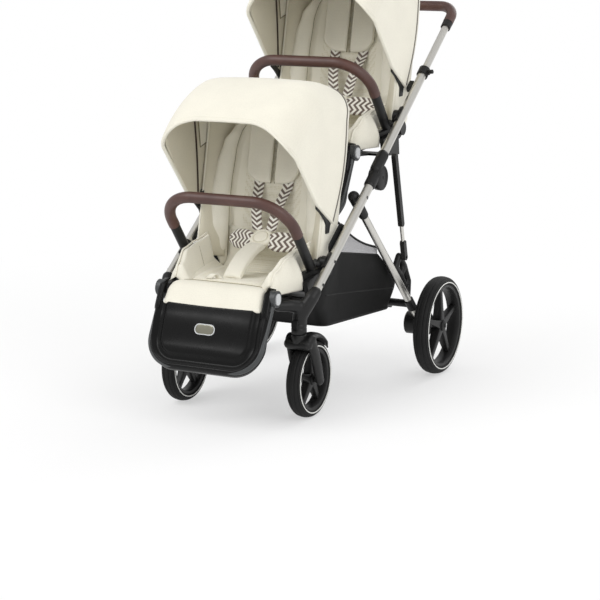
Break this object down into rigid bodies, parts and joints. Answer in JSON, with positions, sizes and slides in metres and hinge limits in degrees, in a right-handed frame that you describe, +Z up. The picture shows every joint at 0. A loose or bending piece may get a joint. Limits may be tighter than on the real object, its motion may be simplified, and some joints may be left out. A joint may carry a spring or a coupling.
{
  "type": "in-line twin pushchair",
  "caption": "Folding in-line pushchair: seat units with canopies, leg rests and bumper bars stacked one behind the other on a sloping tube frame with casters and a basket.",
  "frame": {"origin": "on the floor under the middle of the pushchair's box", "axes": "+X to the rider's left, -Y forwards, +Z up"},
  "size_m": [0.653, 1.1486, 1.2004],
  "materials": {
    "tube": "champagne anodised",
    "steel": "plain pins",
    "black_plastic": "fine grain moulded",
    "grey_plastic": "fine grain moulded",
    "tyre": "foam-filled rubber",
    "dark_tube": "dark grey powder coat",
    "cream_cloth": "smooth woven cloth",
    "black_cloth": "black woven cloth",
    "leather": "brown stitched leather",
    "cream_plastic": "moulded",
    "silver_plastic": "silver painted"
  },
  "bodies": {
    "frame": {"lower_tubes": "tube", "hinge_lower": "black_plastic", "hinge_pins": "steel", "front_crossbar": "black_plastic", "front_adapters": "black_plastic", "basket": "black_cloth", "front_seat_frame": "black_plastic", "front_seat_pad": "cream_cloth", "front_buckle": "cream_plastic"},
    "upper_frame": {"upper_tubes": "tube", "hinge_upper": "black_plastic", "upper_collars": "black_plastic", "rear_adapters": "black_plastic", "rear_seat_frame": "black_plastic", "rear_seat_pad": "cream_cloth", "rear_buckle": "cream_plastic"},
    "handle": {"handle_tubes": "tube", "handle_grip": "leather", "handle_collars": "black_plastic"},
    "handle_button": {"handle_button": "grey_plastic"},
    "fold_slider_left": {"fold_slider_left": "black_plastic"},
    "fold_slider_right": {"fold_slider_right": "black_plastic"},
    "rear_legs": {"rear_legs": "tube", "rear_leg_fittings": "black_plastic", "rear_axle": "black_plastic"},
    "links": {"link_sleeves": "black_plastic", "link_rods": "tube"},
    "brake_pedal": {"brake_pedal": "black_plastic"},
    "rear_wheel_left": {"rear_tyre_left": "tyre", "rear_rim_left": "black_plastic"},
    "caster_left": {"caster_fork_left": "black_plastic"},
    "front_wheel_left": {"front_tyre_left": "tyre", "front_rim_left": "black_plastic"},
    "swivel_lock_left": {"swivel_lock_left": "grey_plastic"},
    "rear_wheel_right": {"rear_tyre_right": "tyre", "rear_rim_right": "black_plastic"},
    "caster_right": {"caster_fork_right": "black_plastic"},
    "front_wheel_right": {"front_tyre_right": "tyre", "front_rim_right": "black_plastic"},
    "swivel_lock_right": {"swivel_lock_right": "grey_plastic"},
    "front_backrest": {"front_back_frame": "dark_tube", "front_back_pad": "cream_cloth", "front_canopy_rear": "cream_cloth"},
    "front_canopy": {"front_canopy_front": "cream_cloth"},
    "front_leg_rest": {"front_leg_frame": "dark_tube", "front_leg_pad": "black_cloth"},
    "front_leg_button": {"front_leg_button": "silver_plastic"},
    "front_bumper": {"front_bumper_bar": "leather", "front_bumper_arms": "black_plastic"},
    "front_buckle_button": {"front_buckle_button": "cream_plastic"},
    "rear_backrest": {"rear_back_frame": "dark_tube", "rear_back_pad": "cream_cloth", "rear_canopy_rear": "cream_cloth"},
    "rear_canopy": {"rear_canopy_front": "cream_cloth"},
    "rear_leg_rest": {"rear_leg_frame": "dark_tube", "rear_leg_pad": "black_cloth"},
    "rear_leg_button": {"rear_leg_button": "silver_plastic"},
    "rear_bumper": {"rear_bumper_bar": "leather", "rear_bumper_arms": "black_plastic"},
    "rear_buckle_button": {"rear_buckle_button": "cream_plastic"}
  },
  "joints": [
    {"name": "fold", "type": "hinge", "parent": "frame", "child": "upper_frame", "pos_m": [0, 0.029, 0.595], "axis": [-1, 0, 0], "range_deg": [0, 80]},
    {"name": "rear_legs_fold", "type": "hinge", "parent": "frame", "child": "rear_legs", "pos_m": [0, -0.06366, 0.5524], "axis": [-1, 0, 0], "range_deg": [0, 36.81]},
    {"name": "link_swing", "type": "hinge", "parent": "rear_legs", "child": "links", "pos_m": [0, 0.15963, 0.3542], "axis": [-1, 0, 0], "range_deg": [-4.92, 0.3]},
    {"name": "handle_slide", "type": "slide", "parent": "upper_frame", "child": "handle", "axis": [0, -0.796, -0.6053], "range_m": [0, 0.12]},
    {"name": "handle_button_press", "type": "slide", "parent": "handle", "child": "handle_button", "axis": [0, 0.796, 0.6053], "range_m": [0, 0.004], "stiffness_N_per_m": 900},
    {"name": "fold_slider_left_slide", "type": "slide", "parent": "upper_frame", "child": "fold_slider_left", "axis": [0, 0.796, 0.6053], "range_m": [0, 0.012], "stiffness_N_per_m": 400},
    {"name": "fold_slider_right_slide", "type": "slide", "parent": "upper_frame", "child": "fold_slider_right", "axis": [0, 0.796, 0.6053], "range_m": [0, 0.012], "stiffness_N_per_m": 400},
    {"name": "brake_pedal_turn", "type": "hinge", "parent": "rear_legs", "child": "brake_pedal", "pos_m": [0, 0.22138, 0.20715], "axis": [-1, 0, 0], "range_deg": [0, 20]},
    {"name": "rear_wheel_left_spin", "type": "hinge", "parent": "rear_legs", "child": "rear_wheel_left", "pos_m": [0.303, 0.276, 0.141], "axis": [1, 0, 0], "continuous": true},
    {"name": "caster_left_swivel", "type": "hinge", "parent": "frame", "child": "caster_left", "pos_m": [0.189, -0.378, 0.24], "axis": [0, 0, 1], "continuous": true},
    {"name": "front_wheel_left_spin", "type": "hinge", "parent": "caster_left", "child": "front_wheel_left", "pos_m": [0.189, -0.321, 0.1025], "axis": [1, 0, 0], "continuous": true},
    {"name": "swivel_lock_left_slide", "type": "slide", "parent": "frame", "child": "swivel_lock_left", "axis": [0, 0, -1], "range_m": [0, 0.008]},
    {"name": "rear_wheel_right_spin", "type": "hinge", "parent": "rear_legs", "child": "rear_wheel_right", "pos_m": [-0.303, 0.276, 0.141], "axis": [1, 0, 0], "continuous": true},
    {"name": "caster_right_swivel", "type": "hinge", "parent": "frame", "child": "caster_right", "pos_m": [-0.189, -0.378, 0.24], "axis": [0, 0, 1], "continuous": true},
    {"name": "front_wheel_right_spin", "type": "hinge", "parent": "caster_right", "child": "front_wheel_right", "pos_m": [-0.189, -0.321, 0.1025], "axis": [1, 0, 0], "continuous": true},
    {"name": "swivel_lock_right_slide", "type": "slide", "parent": "frame", "child": "swivel_lock_right", "axis": [0, 0, -1], "range_m": [0, 0.008]},
    {"name": "front_recline", "type": "hinge", "parent": "frame", "child": "front_backrest", "pos_m": [0, -0.255, 0.389], "axis": [1, 0, 0], "range_deg": [-6, 0]},
    {"name": "front_canopy_fold", "type": "hinge", "parent": "front_backrest", "child": "front_canopy", "pos_m": [0, -0.21965, 0.55529], "axis": [1, 0, 0], "range_deg": [-30, 0]},
    {"name": "front_leg_rest_turn", "type": "hinge", "parent": "frame", "child": "front_leg_rest", "pos_m": [0, -0.471, 0.342], "axis": [1, 0, 0], "range_deg": [-45, 0]},
    {"name": "front_leg_button_press", "type": "slide", "parent": "front_leg_rest", "child": "front_leg_button", "axis": [-1, 0, 0], "range_m": [0, 0.003], "stiffness_N_per_m": 600},
    {"name": "front_bumper_slide", "type": "slide", "parent": "frame", "child": "front_bumper", "axis": [0, -0.6157, 0.788], "range_m": [0, 0.03]},
    {"name": "front_buckle_press", "type": "slide", "parent": "frame", "child": "front_buckle_button", "axis": [0, 0.6157, -0.788], "range_m": [0, 0.003], "stiffness_N_per_m": 600},
    {"name": "rear_recline", "type": "hinge", "parent": "upper_frame", "child": "rear_backrest", "pos_m": [0, 0.209, 0.711], "axis": [1, 0, 0], "range_deg": [-16, 0]},
    {"name": "rear_canopy_fold", "type": "hinge", "parent": "rear_backrest", "child": "rear_canopy", "pos_m": [0, 0.24435, 0.87728], "axis": [1, 0, 0], "range_deg": [-30, 0]},
    {"name": "rear_leg_rest_turn", "type": "hinge", "parent": "upper_frame", "child": "rear_leg_rest", "pos_m": [0, -0.007, 0.664], "axis": [1, 0, 0], "range_deg": [0, 52.5]},
    {"name": "rear_leg_button_press", "type": "slide", "parent": "rear_leg_rest", "child": "rear_leg_button", "axis": [-1, 0, 0], "range_m": [0, 0.003], "stiffness_N_per_m": 600},
    {"name": "rear_bumper_slide", "type": "slide", "parent": "upper_frame", "child": "rear_bumper", "axis": [0, -0.6157, 0.788], "range_m": [0, 0.03]},
    {"name": "rear_buckle_press", "type": "slide", "parent": "upper_frame", "child": "rear_buckle_button", "axis": [0, 0.6157, -0.788], "range_m": [0, 0.003], "stiffness_N_per_m": 600}
  ],
  "couplings": [
    {"joint": "rear_legs_fold", "follows": "fold", "ratio": 0.45388},
    {"joint": "link_swing", "follows": "fold", "ratio": -0.05775},
    {"joint": "rear_leg_rest_turn", "follows": "fold", "ratio": 0.65}
  ]
}
